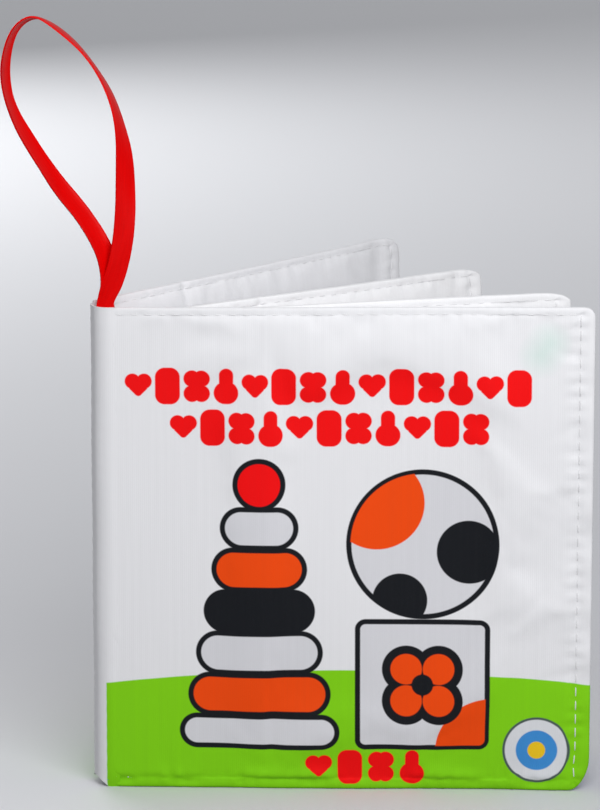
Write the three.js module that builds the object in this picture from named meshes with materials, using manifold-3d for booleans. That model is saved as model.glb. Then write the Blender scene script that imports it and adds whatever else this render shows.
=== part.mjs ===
// A cloth rattle book that stands open on its lower edges. All lengths are in millimetres and +Z is up.
// Four padded leaves hang in a chain on three sewn spine seams, so each leaf turns against the one before it.
// The origin is the foot of the front spine seam, on the axis about which the first page turns.

import * as THREE from 'three';
import { mergeVertices } from 'three/addons/utils/BufferGeometryUtils.js';
import Module from 'manifold-3d';

const wasm = await Module();
wasm.setup();

// Leaf outlines
const coverWidth = 139; // hinge axis to fore edge, along the head
const coverHeight = 139.5;
const backCoverWidth = 140.4; // the cover sheet is folded a little towards its front
const backCoverHeight = 140.2;
const pageWidth = 137.8; // the inner sheet is cut a little smaller than the cover sheet
const pageFoot = 2; // height of the inner pages' lower edge
const firstPageDrop = 2.3; // how far their upper edges lie below the cover's, sewn a little uneven
const secondPageDrop = 4.1;
const spineDrop = 0.9; // how far the seam draws the head down at the spine
const foreEdgeSlant = 0.5; // how far the fore edge draws in at the foot
const foreCorner = [9, 3]; // reach of a rounded corner along the head or foot, and up the fore edge
const coverCorner = [3.2, 3.2];
const wornCorner = [5, 8]; // the front cover's lower fore corner is worn rounder

// Fabric and padding
const fabric = 0.6; // one panel, with its printed face and backing
const softGap = 0.3; // clearance between soft pieces that touch
const spineHalf = 0.75; // half the thickness of a leaf at its spine side
const marginHalf = 1.15; // half the thickness of the turned margin
const edgeHalf = 0.6; // half the thickness at the very edge
const crownHalf = 2.8; // half the thickness of the padded middle
const spineRise = 45; // distance over which the padding rises from the spine
const footCut = 0.5; // the standing edges are cut flat this deep
const stitchDepth = 0.45; // how deep the stitching pulls the panel in
const thread = 0.4;

// Edge to topstitching
const foreInset = 3.8;
const headInset = 2;
const footInset = 2.8;

// How an edge is built up, with its topstitching at 1
const rollShare = 0.32; // end of the rolled edge
const stitchShare = 1;
const paddingShare = 1.7; // start of the wadding
const shoulderShare = 4; // a grid line on the slope between them
const crownShare = 7.5; // full thickness of the padding

// Spine
const leafGap = 0.8; // between the faces of neighbouring leaves at the spine, when shut
const leafPitch = 2 * spineHalf + leafGap;
const seamRadius = (leafPitch - softGap) / 2;
const seamGap = 0.5;
const spineInset = seamRadius + seamGap; // hinge axis to the start of each leaf
const spineHem = 8; // width of the unpadded strip beside the spine
const seamDrop = 5.9; // the seams end this far below the head, under the ribbon

// Openings between neighbouring leaves as the book stands, in degrees
const firstOpening = 15;
const middleOpening = 23;
const lastOpening = 14.5;

// Rattle in the middle of the back cover
const caseRadius = 14;
const caseHalf = 3.5;
const caseWall = 1;
const caseShoulder = 1.4;
const beadRadius = 1.6;
const beadRows = [3, 4]; // beads in each row of the heap, from the bottom
const rattleAlong = backCoverWidth / 2;
const rattleUp = backCoverHeight / 2;
const caseMargin = 1;
const caseRoom = caseRadius + caseMargin; // the panels' grid passes the case at this distance
const bulgeFlat = 1.5 * caseRoom; // the panels lie flat over the case out to this radius
const bulgeSlope = 16; // and meet the padding again this much further out

// Ribbon loop
const ribbonWidth = 6;
const ribbonThick = 0.5;
const ribbonTuck = 2.6; // length sewn in below the head of the front cover
const ribbonSteps = 60;
const tackWidth = 4;
const tackHeight = 1.2;

const hair = 0.001; // closer than this, two grid lines are the same one
const roundSteps = 32;

const white = new THREE.Color('#e9eaed');
const paper = new THREE.Color('#efeff3');
const red = new THREE.Color('#dd0303');
const plastic = new THREE.Color('#f2efe6');
const fluff = new THREE.Color('#f4f4f4');

function smooth(value) {
  const t = THREE.MathUtils.clamp(value, 0, 1);
  return t * t * (3 - 2 * t);
}

// Half the thickness of a leaf's padded body before its edges are drawn in
function bodyHalf(leaf, along, up) {
  const rise = THREE.MathUtils.clamp((along - spineInset) / spineRise, 0, 1);
  const padded = spineHalf + (crownHalf - spineHalf) * (rise + smooth(rise)) / 2;
  if (!leaf.rattle) {
    return padded;
  }
  const away = Math.hypot(along - rattleAlong, up - rattleUp);
  const overCase = caseHalf + softGap + fabric + softGap;
  return padded + (overCase - padded) * (1 - smooth((away - bulgeFlat) / bulgeSlope));
}

// Distance to the nearest free edge, with the topstitching at 1
function edgeShare(leaf, along, up) {
  const fromFore = (leaf.width - along) / foreInset;
  const fromFoot = (up - leaf.foot) / footInset;
  const fromHead = (leaf.head - up) / headInset;
  return Math.min(fromFore, fromFoot, fromHead);
}

function isNear(value, target) {
  return Math.abs(value - target) < hair;
}

// Half the thickness of a leaf: a rolled edge, a channel at the topstitching, then the crown
function leafHalf(leaf, along, up) {
  const body = bodyHalf(leaf, along, up);
  const margin = Math.min(body, marginHalf);
  const share = edgeShare(leaf, along, up);
  const rise = THREE.MathUtils.clamp((share - stitchShare) / (crownShare - stitchShare), 0, 1);
  const crowned = margin + (body - margin) * rise * (2 - rise);
  if (isNear(share, stitchShare)) {
    return Math.max(crowned - stitchDepth, fabric);
  }
  if (share > rollShare) {
    return crowned;
  }
  const cut = leaf.foot === 0 && isNear(up, 0) ? footCut / footInset : 0;
  return edgeHalf + (margin - edgeHalf) * Math.min(1, (share + cut) / rollShare);
}

// Inner face of a panel: pressed together in the margin, and held off the middle by the wadding
function innerHalf(leaf, along, up) {
  const pressed = softGap / 2;
  const inMargin = edgeShare(leaf, along, up) < paddingShare - hair;
  return inMargin ? pressed : Math.max(pressed, leafHalf(leaf, along, up) - fabric);
}

// Evenly spaced lines between two others, which are left out
function spread(from, to, count) {
  return Array.from({ length: count }, (_, step) => from + (to - from) * (step + 1) / (count + 1));
}

// Lines of a leaf's grid across its middle, which also pass round the rattle
function middleLines(leaf, from, to, centre, plainCount) {
  if (!leaf.rattle) {
    return spread(from, to, plainCount);
  }
  const [near, far] = [centre - caseRoom, centre + caseRoom];
  return [...spread(from, near, 2), near, centre, far, ...spread(far, to, 2)];
}

const edgeLines = [0, rollShare, stitchShare, paddingShare, shoulderShare];

function leafColumns(leaf) {
  const fore = edgeLines.map((share) => leaf.width - share * foreInset).reverse();
  const spine = [spineInset, spineInset + spineHem];
  return [...spine, ...middleLines(leaf, spine[1], fore[0], rattleAlong, 4), ...fore];
}

function leafRows(leaf) {
  const lower = edgeLines.map((share) => leaf.foot + share * footInset);
  const upper = edgeLines.map((share) => leaf.head - share * headInset).reverse();
  return [...lower, ...middleLines(leaf, lower[lower.length - 1], upper[0], rattleUp, 3), ...upper];
}

// Draws a square corner in to a quarter round of the given reach along and up
function roundCorner(along, up, reachAlong, reachUp) {
  const a = along / reachAlong;
  const b = up / reachUp;
  if (a <= 0 || b <= 0) {
    return [along, up];
  }
  const draw = Math.max(a, b) / Math.hypot(a, b);
  return [along * draw, up * draw];
}

// Place of a grid point on the real outline: a slanting fore edge, a head drawn down at the spine
// and rounded fore corners
function outlinePoint(leaf, along, up) {
  const upper = up > (leaf.foot + leaf.head) / 2;
  const [reachAlong, reachUp] = upper ? leaf.headCorner : leaf.footCorner;
  const direction = upper ? 1 : -1;
  const cornerAlong = leaf.width - reachAlong;
  const cornerUp = (upper ? leaf.head : leaf.foot) - direction * reachUp;
  const [a, b] = roundCorner(along - cornerAlong, direction * (up - cornerUp), reachAlong, reachUp);
  const height = (up - leaf.foot) / (leaf.head - leaf.foot);
  const slant = foreEdgeSlant * (along / leaf.width) * (1 - height);
  const drop = spineDrop * (1 - along / leaf.width) * height;
  return [cornerAlong + a - slant, cornerUp + direction * b - drop];
}

function indexedGeometry(points, faces) {
  const geometry = new THREE.BufferGeometry();
  geometry.setAttribute('position', new THREE.Float32BufferAttribute(points.flat(), 3));
  geometry.setIndex(faces.flat());
  return geometry;
}

function fourSided(a, b, c, d) {
  return [[a, b, c], [a, c, d]];
}

// A closed slab on the leaf's grid, between a face on the reader's side and one behind it
function slabGeometry(leaf, columns, rows, frontY, backY) {
  const points = [];
  const columnCount = columns.length;
  const layer = columnCount * rows.length;
  for (const depth of [frontY, backY]) {
    for (const up of rows) {
      for (const along of columns) {
        const [x, z] = outlinePoint(leaf, along, up);
        points.push([x, depth(leaf, along, up), z]);
      }
    }
  }
  const faces = [];
  const at = (column, row) => row * columnCount + column;
  for (let row = 0; row < rows.length - 1; row += 1) {
    for (let column = 0; column < columnCount - 1; column += 1) {
      const corners = [at(column, row), at(column + 1, row), at(column + 1, row + 1), at(column, row + 1)];
      const towardsCorner = (columns[column] > leaf.width / 2) !== (rows[row] > leaf.head / 2);
      if (towardsCorner) {
        corners.push(corners.shift());
      }
      const [a, b, c, d] = corners;
      faces.push(...fourSided(a, b, c, d));
      faces.push([layer + a, layer + c, layer + b], [layer + a, layer + d, layer + c]);
    }
  }
  const rim = [];
  for (let column = 0; column < columnCount - 1; column += 1) rim.push(at(column, 0));
  for (let row = 0; row < rows.length - 1; row += 1) rim.push(at(columnCount - 1, row));
  for (let column = columnCount - 1; column > 0; column -= 1) rim.push(at(column, rows.length - 1));
  for (let row = rows.length - 1; row > 0; row -= 1) rim.push(at(0, row));
  rim.forEach((here, step) => {
    const next = rim[(step + 1) % rim.length];
    faces.push(...fourSided(here, here + layer, next + layer, next));
  });
  return indexedGeometry(points, faces);
}

// A closed bar with a rectangular section: each station gives its four corners in turn
function barGeometry(stations) {
  const faces = [];
  for (let step = 0; step < stations.length - 1; step += 1) {
    for (let corner = 0; corner < 4; corner += 1) {
      const here = step * 4 + corner;
      const beside = step * 4 + (corner + 1) % 4;
      faces.push(...fourSided(here, beside, beside + 4, here + 4));
    }
  }
  const last = (stations.length - 1) * 4;
  faces.push(...fourSided(0, 3, 2, 1));
  faces.push(...fourSided(last, last + 1, last + 2, last + 3));
  return indexedGeometry(stations.flat(), faces);
}

function addMesh(parent, name, geometry, color, roughness) {
  const mesh = new THREE.Mesh(geometry, new THREE.MeshStandardMaterial({ color, roughness, metalness: 0 }));
  mesh.name = name;
  parent.add(mesh);
  return mesh;
}

// The solid library takes a mesh whose shared corners are merged
function toSolid(geometry) {
  const bare = geometry.clone();
  bare.deleteAttribute('normal');
  bare.deleteAttribute('uv');
  const merged = mergeVertices(bare);
  return new wasm.Manifold(new wasm.Mesh({
    numProp: 3,
    vertProperties: new Float32Array(merged.attributes.position.array),
    triVerts: new Uint32Array(merged.index.array),
  }));
}

function fromSolid(solid) {
  const mesh = solid.getMesh();
  const geometry = new THREE.BufferGeometry();
  geometry.setAttribute('position', new THREE.BufferAttribute(new Float32Array(mesh.vertProperties), 3));
  geometry.setIndex(new THREE.BufferAttribute(new Uint32Array(mesh.triVerts), 1));
  return geometry;
}

// Wadding: a soft slab between the panels, with a round pocket where the rattle sits
function waddingGeometry(leaf) {
  const insideFore = leaf.width - paddingShare * foreInset + hair;
  const insideFoot = leaf.foot + paddingShare * footInset - hair;
  const insideHead = leaf.head - paddingShare * headInset + hair;
  const columns = leafColumns(leaf).filter((along) => along > spineInset && along < insideFore);
  const rows = leafRows(leaf).filter((up) => up > insideFoot && up < insideHead);
  const half = (side) => (which, along, up) => side * (innerHalf(which, along, up) - softGap);
  const slab = slabGeometry(leaf, columns, rows, half(-1), half(1));
  if (!leaf.rattle) {
    return slab;
  }
  const pocketRadius = caseRadius + softGap;
  const pocket = new THREE.CylinderGeometry(pocketRadius, pocketRadius, 4 * caseHalf, roundSteps);
  pocket.translate(rattleAlong, 0, rattleUp);
  return fromSolid(toSolid(slab).subtract(toSolid(pocket)));
}

// Topstitching: a thread in the channel of one face, round the foot, the fore edge and the head
function threadGeometry(leaf, side) {
  const foot = leaf.foot + footInset;
  const head = leaf.head - headInset;
  const fore = leaf.width - foreInset;
  const columns = leafColumns(leaf).filter((along) => along > spineInset && along < fore - hair);
  const rows = leafRows(leaf).filter((up) => up > foot + hair && up < head - hair);
  const route = [
    ...columns.map((along) => [along, foot, 0, 1]),
    [fore, foot, -1, 1],
    ...rows.map((up) => [fore, up, -1, 0]),
    [fore, head, -1, -1],
    ...columns.reverse().map((along) => [along, head, 0, -1]),
  ];
  const stations = route.map(([along, up, acrossX, acrossZ]) => {
    const [x, z] = outlinePoint(leaf, along, up);
    const near = side * (leafHalf(leaf, along, up) + softGap);
    const far = near + side * thread;
    const [dx, dz] = [acrossX * thread / 2, acrossZ * thread / 2];
    const outerSide = [[x - dx, near, z - dz], [x - dx, far, z - dz]];
    const innerSide = [[x + dx, far, z + dz], [x + dx, near, z + dz]];
    const corners = [...outerSide, ...innerSide];
    return side < 0 ? corners.reverse() : corners;
  });
  return barGeometry(stations);
}

// One half of the rattle case: a shallow cup with a rounded shoulder, open towards its twin
function caseGeometry(side) {
  const rim = softGap / 2;
  const profile = [new THREE.Vector2(0, caseHalf)];
  for (let step = 0; step <= 4; step += 1) {
    const turn = (step / 4) * Math.PI / 2;
    profile.push(new THREE.Vector2(
      caseRadius - caseShoulder + caseShoulder * Math.sin(turn),
      caseHalf - caseShoulder + caseShoulder * Math.cos(turn),
    ));
  }
  profile.push(
    new THREE.Vector2(caseRadius, rim),
    new THREE.Vector2(caseRadius - caseWall, rim),
    new THREE.Vector2(caseRadius - caseWall, caseHalf - caseWall),
    new THREE.Vector2(0, caseHalf - caseWall),
  );
  const cup = new THREE.LatheGeometry(profile.reverse(), roundSteps);
  return side < 0 ? cup.rotateX(Math.PI) : cup;
}

// The loose beads lie in rows at the bottom of the case, each row nested on the one below
function beadPlaces() {
  const pitch = 2 * beadRadius + softGap;
  const reach = caseRadius - caseWall - beadRadius - softGap;
  const lowestHalf = (beadRows[0] - 1) / 2 * pitch;
  const lowest = -Math.sqrt(reach * reach - lowestHalf * lowestHalf);
  const rise = pitch * Math.sqrt(3) / 2;
  return beadRows.flatMap((count, row) => Array.from({ length: count }, (_, place) => (
    new THREE.Vector3((place - (count - 1) / 2) * pitch, 0, lowest + row * rise)
  )));
}

function addRattle(leafGroup) {
  const rattle = new THREE.Group();
  rattle.position.set(rattleAlong, 0, rattleUp);
  leafGroup.add(rattle);
  addMesh(rattle, 'rattle_case_front', caseGeometry(-1), plastic, 0.35);
  addMesh(rattle, 'rattle_case_back', caseGeometry(1), plastic, 0.35);
  beadPlaces().forEach((place, count) => {
    const ball = new THREE.SphereGeometry(beadRadius, 10, 7);
    const bead = addMesh(rattle, `rattle_bead_${count + 1}`, ball, plastic, 0.3);
    bead.position.copy(place);
  });
}

// The ribbon's route as photographed: along, depth, height above the cover's head, and the turn of its
// outer face in degrees, from 90 (towards the reader) through 0 (edge on) to -90 (away from the reader)
const ribbonRoute = [
  [2.4, 1.6, -ribbonTuck, 90],
  [2.6, 1.6, 0.5, 88],
  [4.9, 1.3, 10, 66],
  [7.0, 1.3, 20, 64],
  [7.8, 1.4, 32, 62],
  [7.1, 1.6, 46, 46],
  [3.6, 1.8, 59, 18],
  [-3.6, 1.9, 70.5, 4],
  [-12.6, 1.9, 78.4, 0],
  [-18.6, 1.9, 80, -4],
  [-23.6, 1.9, 75, -14],
  [-25.6, 2.0, 64, -24],
  [-22.6, 2.1, 52, -28],
  [-12.6, 2.2, 35.5, -38],
  [-4.0, 2.3, 24, -50],
  [0.6, 2.4, 14.5, -62],
  [2.2, 2.4, 6, -78],
  [2.4, 2.4, 0.5, -88],
  [2.4, 2.4, -ribbonTuck, -90],
];

function ribbonGeometry() {
  const places = ribbonRoute.map(([x, y, z]) => new THREE.Vector3(x, y, coverHeight + z));
  const turns = ribbonRoute.map(([, , , turn]) => new THREE.Vector3(turn, 0, 0));
  const line = new THREE.CatmullRomCurve3(places);
  const turning = new THREE.CatmullRomCurve3(turns);
  const depth = new THREE.Vector3(0, 1, 0);
  const stations = [];
  for (let step = 0; step <= ribbonSteps; step += 1) {
    const at = step / ribbonSteps;
    const tucked = step === 0 || step === ribbonSteps;
    const place = line.getPoint(at);
    const tangent = tucked ? new THREE.Vector3(0, 0, step === 0 ? 1 : -1) : line.getTangent(at);
    const turn = THREE.MathUtils.degToRad(turning.getPoint(at).x);
    const outward = new THREE.Vector3().crossVectors(depth, tangent).normalize();
    const face = outward.multiplyScalar(Math.cos(turn)).addScaledVector(depth, -Math.sin(turn));
    const across = new THREE.Vector3().crossVectors(tangent, face).normalize();
    const corners = [[-1, 1], [1, 1], [1, -1], [-1, -1]].map(([side, skin]) => place.clone()
      .addScaledVector(across, side * ribbonWidth / 2)
      .addScaledVector(face, skin * ribbonThick / 2)
      .toArray());
    stations.push(corners);
  }
  return barGeometry(stations);
}

function addRibbon(leafGroup) {
  addMesh(leafGroup, 'ribbon_loop', ribbonGeometry(), red, 0.35);
  const last = ribbonRoute[ribbonRoute.length - 1];
  const tack = new THREE.BoxGeometry(tackWidth, thread, tackHeight);
  tack.translate(last[0], last[1] + (ribbonThick + thread) / 2 + softGap, coverHeight - ribbonTuck / 2);
  addMesh(leafGroup, 'ribbon_bartack', tack, red, 0.6);
}

// A rolled seam on the hinge axis behind a leaf, from the leaf's foot to just below its head
function addSeam(leafGroup, name, foot) {
  const height = coverHeight - seamDrop - foot;
  const seam = new THREE.CylinderGeometry(seamRadius, seamRadius, height, roundSteps / 2);
  seam.rotateX(Math.PI / 2);
  seam.translate(0, leafPitch / 2, foot + height / 2);
  addMesh(leafGroup, name, seam, white, 0.85);
}

function addLeaf(leaf) {
  const group = new THREE.Group();
  const columns = leafColumns(leaf);
  const rows = leafRows(leaf);
  const outer = (side) => (which, along, up) => side * leafHalf(which, along, up);
  const inner = (side) => (which, along, up) => side * innerHalf(which, along, up);
  const frontPanel = slabGeometry(leaf, columns, rows, outer(-1), inner(-1));
  const backPanel = slabGeometry(leaf, columns, rows, inner(1), outer(1));
  addMesh(group, `${leaf.name}_front_panel`, frontPanel, leaf.color, 0.8);
  addMesh(group, `${leaf.name}_back_panel`, backPanel, leaf.color, 0.8);
  addMesh(group, `${leaf.name}_wadding`, waddingGeometry(leaf), fluff, 1);
  addMesh(group, `${leaf.name}_needle_thread`, threadGeometry(leaf, -1), white, 0.6);
  addMesh(group, `${leaf.name}_bobbin_thread`, threadGeometry(leaf, 1), white, 0.6);
  return group;
}

// Hangs the next leaf on the seam behind a leaf, opened by an angle
function hangLeaf(previous, next, opening) {
  const hinge = new THREE.Group();
  hinge.position.y = leafPitch / 2;
  hinge.rotation.z = THREE.MathUtils.degToRad(opening);
  next.position.y = leafPitch / 2;
  hinge.add(next);
  previous.add(hinge);
}

const frontCover = addLeaf({
  name: 'front_cover',
  width: coverWidth,
  foot: 0,
  head: coverHeight,
  headCorner: coverCorner,
  footCorner: wornCorner,
  color: white,
});
const firstPage = addLeaf({
  name: 'first_page',
  width: pageWidth,
  foot: pageFoot,
  head: coverHeight - firstPageDrop,
  headCorner: foreCorner,
  footCorner: foreCorner,
  color: paper,
});
const secondPage = addLeaf({
  name: 'second_page',
  width: pageWidth,
  foot: pageFoot,
  head: coverHeight - secondPageDrop,
  headCorner: foreCorner,
  footCorner: foreCorner,
  color: paper,
});
const backCover = addLeaf({
  name: 'back_cover',
  width: backCoverWidth,
  foot: 0,
  head: backCoverHeight,
  headCorner: coverCorner,
  footCorner: coverCorner,
  color: white,
  rattle: true,
});

addSeam(frontCover, 'front_spine_seam', 0);
addSeam(firstPage, 'middle_spine_seam', pageFoot);
addSeam(secondPage, 'back_spine_seam', pageFoot);
addRibbon(frontCover);
addRattle(backCover);

hangLeaf(frontCover, firstPage, firstOpening);
hangLeaf(firstPage, secondPage, middleOpening);
hangLeaf(secondPage, backCover, lastOpening);

const book = new THREE.Group();
frontCover.position.y = -leafPitch / 2;
book.add(frontCover);

export default book;
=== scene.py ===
# A cloth rattle book with padded leaves and a satin hanging loop, standing open on its lower edges.
# First come the camera and the room, and then the book, piece by piece, as it is sewn together.
import math

import bpy
import numpy as np
from mathutils import Matrix, Vector


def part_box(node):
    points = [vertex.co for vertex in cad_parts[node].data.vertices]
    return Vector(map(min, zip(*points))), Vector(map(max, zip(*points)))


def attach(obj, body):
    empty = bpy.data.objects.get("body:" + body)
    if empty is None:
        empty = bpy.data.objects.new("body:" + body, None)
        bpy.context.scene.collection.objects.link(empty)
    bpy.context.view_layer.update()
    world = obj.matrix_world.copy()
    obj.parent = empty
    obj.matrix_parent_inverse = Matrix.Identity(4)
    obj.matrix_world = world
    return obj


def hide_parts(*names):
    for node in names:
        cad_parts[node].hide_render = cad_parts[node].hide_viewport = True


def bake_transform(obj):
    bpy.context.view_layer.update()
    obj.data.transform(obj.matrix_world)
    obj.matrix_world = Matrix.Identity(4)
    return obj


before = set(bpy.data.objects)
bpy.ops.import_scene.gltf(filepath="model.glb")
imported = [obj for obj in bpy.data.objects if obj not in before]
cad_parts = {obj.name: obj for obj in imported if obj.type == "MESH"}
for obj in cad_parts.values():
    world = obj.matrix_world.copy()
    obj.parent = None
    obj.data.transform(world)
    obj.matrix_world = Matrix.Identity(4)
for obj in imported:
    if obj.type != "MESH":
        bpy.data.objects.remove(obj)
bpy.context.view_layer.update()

MM = 0.001

# Camera, floor and light
# The book is seen a little from above and from the right, from far enough away for nearly square
# lines. It stands on a plain pale table in soft light from above, in front and to the right.
CAMERA_AT = Vector((99.5, -1365, 384.7)) * MM
CAMERA_TO = Vector((56.4, -1.1, 111.1)) * MM
LENS, SENSOR = 220.8, 36
SIGHT = 20
TABLE_SIZE = 16
TABLE_COLOUR, TABLE_CLOUD, TABLE_FAR = "#d9dade", "#d5d6da", "#eeeff2"
TABLE_THROWN = "#8a8b8d"
ROOM_COLOUR, ROOM_STRENGTH = "#fbfcff", 0.41


def linear(colour):
    """A colour written as sRGB hex, as the linear values that a material takes."""
    parts = [int(colour[i:i + 2], 16) / 255 for i in (1, 3, 5)]
    return [c / 12.92 if c <= 0.04045 else ((c + 0.055) / 1.055) ** 2.4 for c in parts] + [1.0]


def feed(tree, node, *inputs):
    """Gives each (input, value) of a node its value, or a link to the output that feeds it."""
    for key, value in inputs:
        if isinstance(value, bpy.types.NodeSocket):
            tree.links.new(value, node.inputs[key])
        else:
            node.inputs[key].default_value = value


def add_node(tree, kind, *inputs, **settings):
    """A new node with its settings and its inputs."""
    made = tree.nodes.new("ShaderNode" + kind)
    for name, value in settings.items():
        setattr(made, name, value)
    feed(tree, made, *inputs)
    return made


def new_material(name):
    """A new material, its node tree and the Principled shader in it."""
    made = bpy.data.materials.new(name)
    made.use_nodes = True
    return made, made.node_tree, made.node_tree.nodes["Principled BSDF"]


def add_piece(name, primitive, **sizes):
    """A new piece from one of Blender's primitives, with nothing else selected."""
    bpy.ops.object.select_all(action="DESELECT")
    primitive(**sizes)
    made = bpy.context.object
    made.name = name
    return made


camera = bpy.data.objects.new("camera", bpy.data.cameras.new("camera"))
bpy.context.collection.objects.link(camera)
camera.data.lens = LENS
camera.data.sensor_width = SENSOR
camera.data.clip_end = SIGHT
camera.location = CAMERA_AT
camera.rotation_euler = (CAMERA_TO - CAMERA_AT).to_track_quat("-Z", "Y").to_euler()
bpy.context.scene.camera = camera
bpy.context.scene.view_settings.view_transform = "Standard"

table = add_piece("table", bpy.ops.mesh.primitive_plane_add, size=TABLE_SIZE)
# Matt laminate: a pale grey with the slightest clouding, whiter away from the book. It looks pale
# while it throws little light back up.
laminate, tree, shader = new_material("matt_laminate")
place = add_node(tree, "TexCoord").outputs["Object"]
cloud = add_node(tree, "TexNoise", ("Vector", place), ("Scale", 3.0), ("Detail", 2.0))
near = add_node(tree, "Mix", (0, cloud.outputs["Fac"]), (6, linear(TABLE_COLOUR)),
                (7, linear(TABLE_CLOUD)), data_type="RGBA")
away = add_node(tree, "VectorMath", (0, place), operation="LENGTH")
fade = add_node(tree, "MapRange", ("Value", away.outputs["Value"]), ("From Min", 0.3),
                ("From Max", 1.9))
sweep = add_node(tree, "Mix", (0, fade.outputs[0]), (6, near.outputs[2]), (7, linear(TABLE_FAR)),
                 data_type="RGBA")
ray = add_node(tree, "LightPath")
direct = add_node(tree, "Math", (0, ray.outputs["Is Camera Ray"]),
                  (1, ray.outputs["Is Glossy Ray"]), operation="MAXIMUM")
seen = add_node(tree, "Math", (0, direct.outputs[0]), (1, ray.outputs["Is Transmission Ray"]),
                operation="MAXIMUM")
shown = add_node(tree, "Mix", (0, seen.outputs[0]), (6, linear(TABLE_THROWN)),
                 (7, sweep.outputs[2]), data_type="RGBA")
feed(tree, shader, ("Base Color", shown.outputs[2]), ("Roughness", 0.7))
table.data.materials.append(laminate)

world = bpy.data.worlds.new("room")
bpy.context.scene.world = world
world.use_nodes = True
feed(world.node_tree, world.node_tree.nodes["Background"],
     ("Color", linear(ROOM_COLOUR)), ("Strength", ROOM_STRENGTH))

for name, place, size, power in (
        ("near_window", (0.165, -0.37, 0.34), (0.3, 0.3), 1.46),
        ("far_window", (0.8, -4.5, 2.8), (2.5, 2.5), 20),
        ("back_window", (-0.6, 1.3, 0.5), (0.8, 0.6), 8)):
    # A soft rectangle of light that faces the book
    light = bpy.data.objects.new(name, bpy.data.lights.new(name, "AREA"))
    bpy.context.collection.objects.link(light)
    light.data.shape = "RECTANGLE"
    light.data.size, light.data.size_y = size
    light.data.energy = power
    light.location = place
    light.visible_camera = False
    light.rotation_euler = (CAMERA_TO - light.location).to_track_quat("-Z", "Y").to_euler()

# Rattle case and beads
# Two shallow cups of moulded plastic, welded rim to rim, with loose beads inside. The case lies
# in a pocket in the back cover's wadding and is shut in when that cover is sewn.
CASE_SIDES = 96
CASE_WALL = 1.0 * MM
CUP_DEPTH = 3.35 * MM
CUP_GAP = 0.15 * MM
SHOULDER = 1.4 * MM
RIB_SHARE = 0.45
RIB_WIDTH = 0.5 * MM
RIB_HEIGHT = 0.35 * MM
LID_RIM = 2.2 * MM
LID_DEPTH = 0.2 * MM
COVER_TURN = math.radians(52.5)
BEADS = 7
PART_LINE = (1.02, 1.02, 0.6)
FLOW_MARKS = 9 * MM


def moulded_plastic(name, colour, grain):
    """Moulded polypropylene: smooth and a little waxy, with the faint flow marks of the mould."""
    made, tree, shader = new_material(name)
    place = add_node(tree, "TexCoord").outputs["Object"]
    flow = add_node(tree, "TexNoise", ("Vector", place), ("Scale", 1 / FLOW_MARKS), ("Detail", 3.0))
    tint = add_node(tree, "Mix", (0, flow.outputs["Fac"]), (6, linear(colour)),
                    (7, [c * 0.88 for c in linear(colour)[:3]] + [1]), data_type="RGBA")
    fine = add_node(tree, "TexNoise", ("Vector", place), ("Scale", 1 / grain), ("Detail", 2.0))
    bump = add_node(tree, "Bump", ("Strength", 0.15), ("Distance", 0.05 * MM),
                    ("Height", fine.outputs["Fac"]))
    feed(tree, shader, ("Base Color", tint.outputs[2]), ("Normal", bump.outputs["Normal"]),
         ("Roughness", 0.32))
    return made


def choose(piece, kind, wanted):
    """Selects only the polygons or edges that wanted() accepts, and goes into edit mode."""
    bpy.ops.object.mode_set(mode="OBJECT")
    for part in (piece.data.vertices, piece.data.edges, piece.data.polygons):
        part.foreach_set("select", [False] * len(part))
    for item in getattr(piece.data, kind):
        item.select = bool(wanted(item))
    bpy.ops.object.mode_set(mode="EDIT")


def extrude(height):
    """In edit mode, extrudes the selected faces along Z."""
    bpy.ops.mesh.extrude_region_move(TRANSFORM_OT_translate={"value": (0, 0, height)})


def face_outwards():
    """Turns the faces of the closed piece at hand outwards, and leaves edit mode."""
    bpy.ops.object.mode_set(mode="EDIT")
    bpy.ops.mesh.select_all(action="SELECT")
    bpy.ops.mesh.normals_make_consistent(inside=False)
    bpy.ops.object.mode_set(mode="OBJECT")


def settle(piece, matrix=Matrix.Identity(4)):
    """Puts a finished mesh in its place, with its object at the origin, unturned and unscaled."""
    bpy.ops.object.mode_set(mode="OBJECT")
    piece.data.transform(matrix @ piece.matrix_basis)
    piece.matrix_basis = Matrix.Identity(4)
    piece.data.update()
    return piece


def case_half(name, low, high, side):
    """One cup of the case, open towards its twin, with a stiffening ring moulded inside."""
    radius = (high.z - low.z) / 2
    cup = add_piece(name, bpy.ops.mesh.primitive_cylinder_add, vertices=CASE_SIDES, radius=radius,
                    depth=CUP_DEPTH)

    def at_rim(edge):
        ends = [cup.data.vertices[i].co for i in edge.vertices]
        return all(co.z > CUP_DEPTH * 0.49 and co.xy.length > radius * 0.99 for co in ends)

    choose(cup, "polygons", lambda face: face.normal.z < -0.9)
    bpy.ops.mesh.inset(thickness=CASE_WALL)
    extrude(CUP_DEPTH - CASE_WALL)
    bpy.ops.mesh.inset(thickness=radius * RIB_SHARE)
    extrude(-RIB_HEIGHT)
    bpy.ops.mesh.inset(thickness=RIB_WIDTH)
    extrude(RIB_HEIGHT)
    choose(cup, "edges", at_rim)
    bpy.ops.mesh.bevel(offset=SHOULDER, segments=6, affect="EDGES")
    choose(cup, "polygons",
           lambda face: face.normal.z > 0.9999 and face.center.z > CUP_DEPTH * 0.45)
    bpy.ops.mesh.inset(thickness=LID_RIM)
    extrude(-LID_DEPTH)
    face_outwards()
    lift = Matrix.Translation((0, 0, CUP_GAP + CUP_DEPTH / 2))
    stand = Matrix.Rotation(COVER_TURN, 4, "Z") @ Matrix.Rotation(-side * math.pi / 2, 4, "X")
    settle(cup, Matrix.Translation(CASE_CENTRE) @ stand @ lift)
    bpy.ops.object.shade_smooth_by_angle(angle=math.radians(35))
    return cup


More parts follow.
